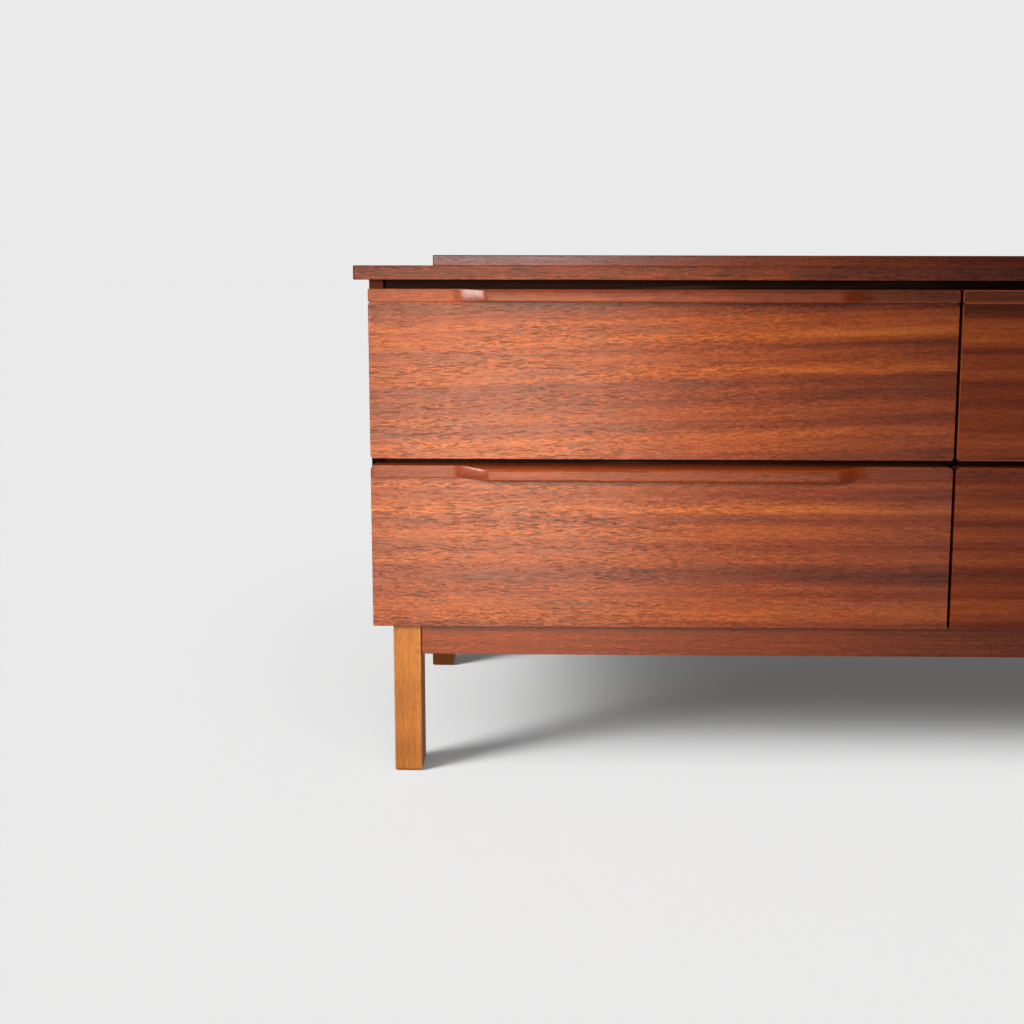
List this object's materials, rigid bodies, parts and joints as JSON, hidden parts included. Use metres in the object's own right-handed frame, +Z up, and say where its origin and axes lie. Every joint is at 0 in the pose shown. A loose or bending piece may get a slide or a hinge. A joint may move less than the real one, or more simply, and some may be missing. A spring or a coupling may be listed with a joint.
{
  "type": "dresser with drawers",
  "caption": "Low double dresser in reddish veneer: overhanging slab top with a rear gallery, full-overlay drawers with sculpted lip pulls, and a base frame on square legs.",
  "frame": {"origin": "on the floor, under the middle of the object's outline with the pulls included", "axes": "+X to the right, -Y towards the front of the drawers, +Z up"},
  "size_m": [1.616, 0.53, 0.73],
  "materials": {
    "mahogany_veneer": "satin",
    "solid_mahogany": "satin",
    "leg_wood": "satin",
    "case_secondary_wood": "matte",
    "drawer_box_wood": "satin",
    "plywood": "matte",
    "screw_steel": "satin"
  },
  "bodies": {
    "case": {"back_gallery": "mahogany_veneer", "back_panel": "plywood", "back_panel_screws": "screw_steel", "bottom_panel": "case_secondary_wood", "centre_base_rail": "case_secondary_wood", "centre_partition": "case_secondary_wood", "corner_brace_screws": "screw_steel", "corner_braces": "case_secondary_wood", "front_base_rail": "mahogany_veneer", "front_left_leg": "leg_wood", "front_right_leg": "leg_wood", "front_top_rail": "case_secondary_wood", "gallery_screws": "screw_steel", "left_base_rail": "mahogany_veneer", "left_bay_kickers": "case_secondary_wood", "left_bay_low_runners": "case_secondary_wood", "left_inner_runner": "case_secondary_wood", "left_outer_runner": "case_secondary_wood", "left_row_rail": "case_secondary_wood", "left_side_panel": "mahogany_veneer", "rear_base_rail": "mahogany_veneer", "rear_left_leg": "leg_wood", "rear_right_leg": "leg_wood", "rear_top_rail": "case_secondary_wood", "right_base_rail": "mahogany_veneer", "right_bay_kickers": "case_secondary_wood", "right_bay_low_runners": "case_secondary_wood", "right_inner_runner": "case_secondary_wood", "right_outer_runner": "case_secondary_wood", "right_row_rail": "case_secondary_wood", "right_side_panel": "mahogany_veneer", "runner_screws": "screw_steel", "top_panel": "mahogany_veneer", "top_panel_screws": "screw_steel"},
    "upper_left_drawer": {"upper_left_drawer_back": "drawer_box_wood", "upper_left_drawer_bottom": "plywood", "upper_left_drawer_face": "mahogany_veneer", "upper_left_drawer_inner_side": "drawer_box_wood", "upper_left_drawer_outer_side": "drawer_box_wood", "upper_left_drawer_pull_rail": "solid_mahogany"},
    "upper_right_drawer": {"upper_right_drawer_back": "drawer_box_wood", "upper_right_drawer_bottom": "plywood", "upper_right_drawer_face": "mahogany_veneer", "upper_right_drawer_inner_side": "drawer_box_wood", "upper_right_drawer_outer_side": "drawer_box_wood", "upper_right_drawer_pull_rail": "solid_mahogany"},
    "lower_left_drawer": {"lower_left_drawer_back": "drawer_box_wood", "lower_left_drawer_bottom": "plywood", "lower_left_drawer_face": "mahogany_veneer", "lower_left_drawer_inner_side": "drawer_box_wood", "lower_left_drawer_outer_side": "drawer_box_wood", "lower_left_drawer_pull_rail": "solid_mahogany"},
    "lower_right_drawer": {"lower_right_drawer_back": "drawer_box_wood", "lower_right_drawer_bottom": "plywood", "lower_right_drawer_face": "mahogany_veneer", "lower_right_drawer_inner_side": "drawer_box_wood", "lower_right_drawer_outer_side": "drawer_box_wood", "lower_right_drawer_pull_rail": "solid_mahogany"}
  },
  "joints": [
    {"name": "upper_left_drawer_slide", "type": "slide", "parent": "case", "child": "upper_left_drawer", "axis": [0, -1, 0], "range_m": [0, 0.33]},
    {"name": "upper_right_drawer_slide", "type": "slide", "parent": "case", "child": "upper_right_drawer", "axis": [0, -1, 0], "range_m": [0, 0.33]},
    {"name": "lower_left_drawer_slide", "type": "slide", "parent": "case", "child": "lower_left_drawer", "axis": [0, -1, 0], "range_m": [0, 0.33]},
    {"name": "lower_right_drawer_slide", "type": "slide", "parent": "case", "child": "lower_right_drawer", "axis": [0, -1, 0], "range_m": [0, 0.33]}
  ]
}
